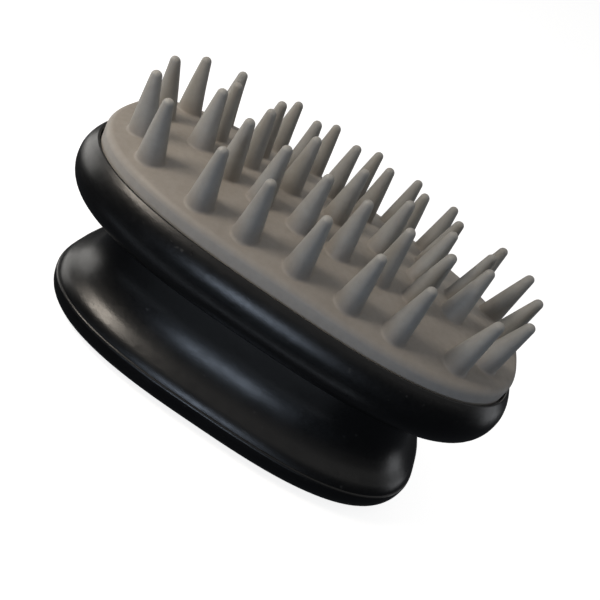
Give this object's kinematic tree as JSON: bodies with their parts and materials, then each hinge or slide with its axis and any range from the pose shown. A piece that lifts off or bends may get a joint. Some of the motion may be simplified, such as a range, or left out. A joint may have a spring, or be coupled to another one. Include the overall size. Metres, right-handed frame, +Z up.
{
  "type": "scalp massager brush",
  "caption": "Palm-held scalp massager brush: a soft spiked silicone pad on a rounded oval head, joined by a finger-groove neck to a rounded oval handle.",
  "frame": {"origin": "centre of the flat of the palm cap that the brush stands on, directly below the middle of the pad", "axes": "+Z up out of the spikes, +X along the long axis of the ovals, +Y across them"},
  "size_m": [0.1, 0.057, 0.0582],
  "materials": {
    "silicone_grey": "matte",
    "plastic_black": "satin",
    "plastic_inner": "matte",
    "screw_steel": "satin",
    "seal_rubber": "matte"
  },
  "bodies": {
    "grip": {"head_shell": "plastic_black", "handle_shell": "plastic_black", "palm_cap": "plastic_black", "neck_screws": "screw_steel", "neck_seal": "seal_rubber", "cap_seal": "seal_rubber"},
    "pad": {"bristle_pad": "silicone_grey", "pad_carrier": "plastic_inner"}
  },
  "joints": [
    {"name": "pad_pull_off", "type": "slide", "parent": "grip", "child": "pad", "axis": [0, 0, 1], "range_m": [0, 0.02]}
  ]
}
